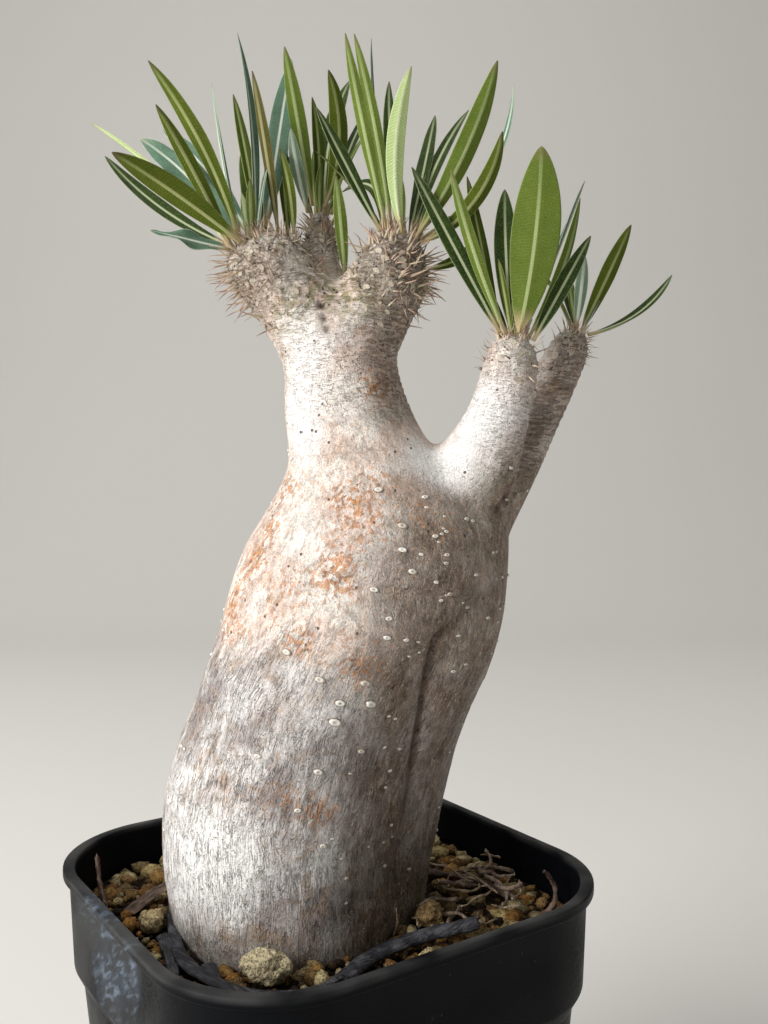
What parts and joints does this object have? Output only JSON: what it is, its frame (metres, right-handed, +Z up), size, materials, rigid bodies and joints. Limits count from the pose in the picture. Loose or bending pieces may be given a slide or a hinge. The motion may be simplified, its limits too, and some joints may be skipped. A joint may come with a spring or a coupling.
{
  "type": "potted pachypodium",
  "caption": "Potted pachypodium: a leaning silver-grey caudex with short limbs, spiny crowns and rosettes of narrow leaves, growing in gritty mix in a square black nursery pot.",
  "frame": {"origin": "middle of the flat underside of the pot", "axes": "+Z up; X and Y square to the pot's sides; the plant leans towards +X and -Y"},
  "size_m": [0.1334, 0.105, 0.2914],
  "materials": {
    "pot_plastic": "satin",
    "growing_mix": "matte",
    "bark": "satin",
    "leaf": "satin",
    "pumice": "matte",
    "dry_litter": "matte"
  },
  "bodies": {
    "root": {"caudex": "bark", "dry_leaf_corner": "dry_litter", "dry_leaf_curl": "dry_litter", "dry_leaf_front": "dry_litter", "dry_leaf_left": "dry_litter", "dry_stalk_front": "dry_litter", "dry_twig_right": "dry_litter", "dry_twig_upright": "dry_litter", "growing_mix": "growing_mix", "leaf_a_01": "leaf", "leaf_a_02": "leaf", "leaf_a_03": "leaf", "leaf_a_04": "leaf", "leaf_a_05": "leaf", "leaf_a_06": "leaf", "leaf_a_07": "leaf", "leaf_a_08": "leaf", "leaf_a_09": "leaf", "leaf_a_10": "leaf", "leaf_a_11": "leaf", "leaf_a_12": "leaf", "leaf_b_01": "leaf", "leaf_b_02": "leaf", "leaf_b_03": "leaf", "leaf_b_04": "leaf", "leaf_b_05": "leaf", "leaf_b_06": "leaf", "leaf_b_07": "leaf", "leaf_c_01": "leaf", "leaf_c_02": "leaf", "leaf_c_03": "leaf", "leaf_c_04": "leaf", "leaf_c_05": "leaf", "leaf_c_06": "leaf", "leaf_c_07": "leaf", "leaf_c_08": "leaf", "leaf_c_09": "leaf", "leaf_c_10": "leaf", "leaf_c_11": "leaf", "leaf_d_01": "leaf", "leaf_d_02": "leaf", "leaf_d_03": "leaf", "leaf_d_04": "leaf", "leaf_d_05": "leaf", "leaf_d_06": "leaf", "leaf_d_07": "leaf", "leaf_d_08": "leaf", "leaf_e_01": "leaf", "leaf_e_02": "leaf", "leaf_e_03": "leaf", "leaf_f_01": "leaf", "leaf_g_01": "leaf", "leaf_g_02": "leaf", "leaf_g_03": "leaf", "pot": "pot_plastic", "stone_back": "pumice", "stone_front": "pumice", "stone_left": "pumice", "stone_right": "pumice"}
  },
  "joints": []
}
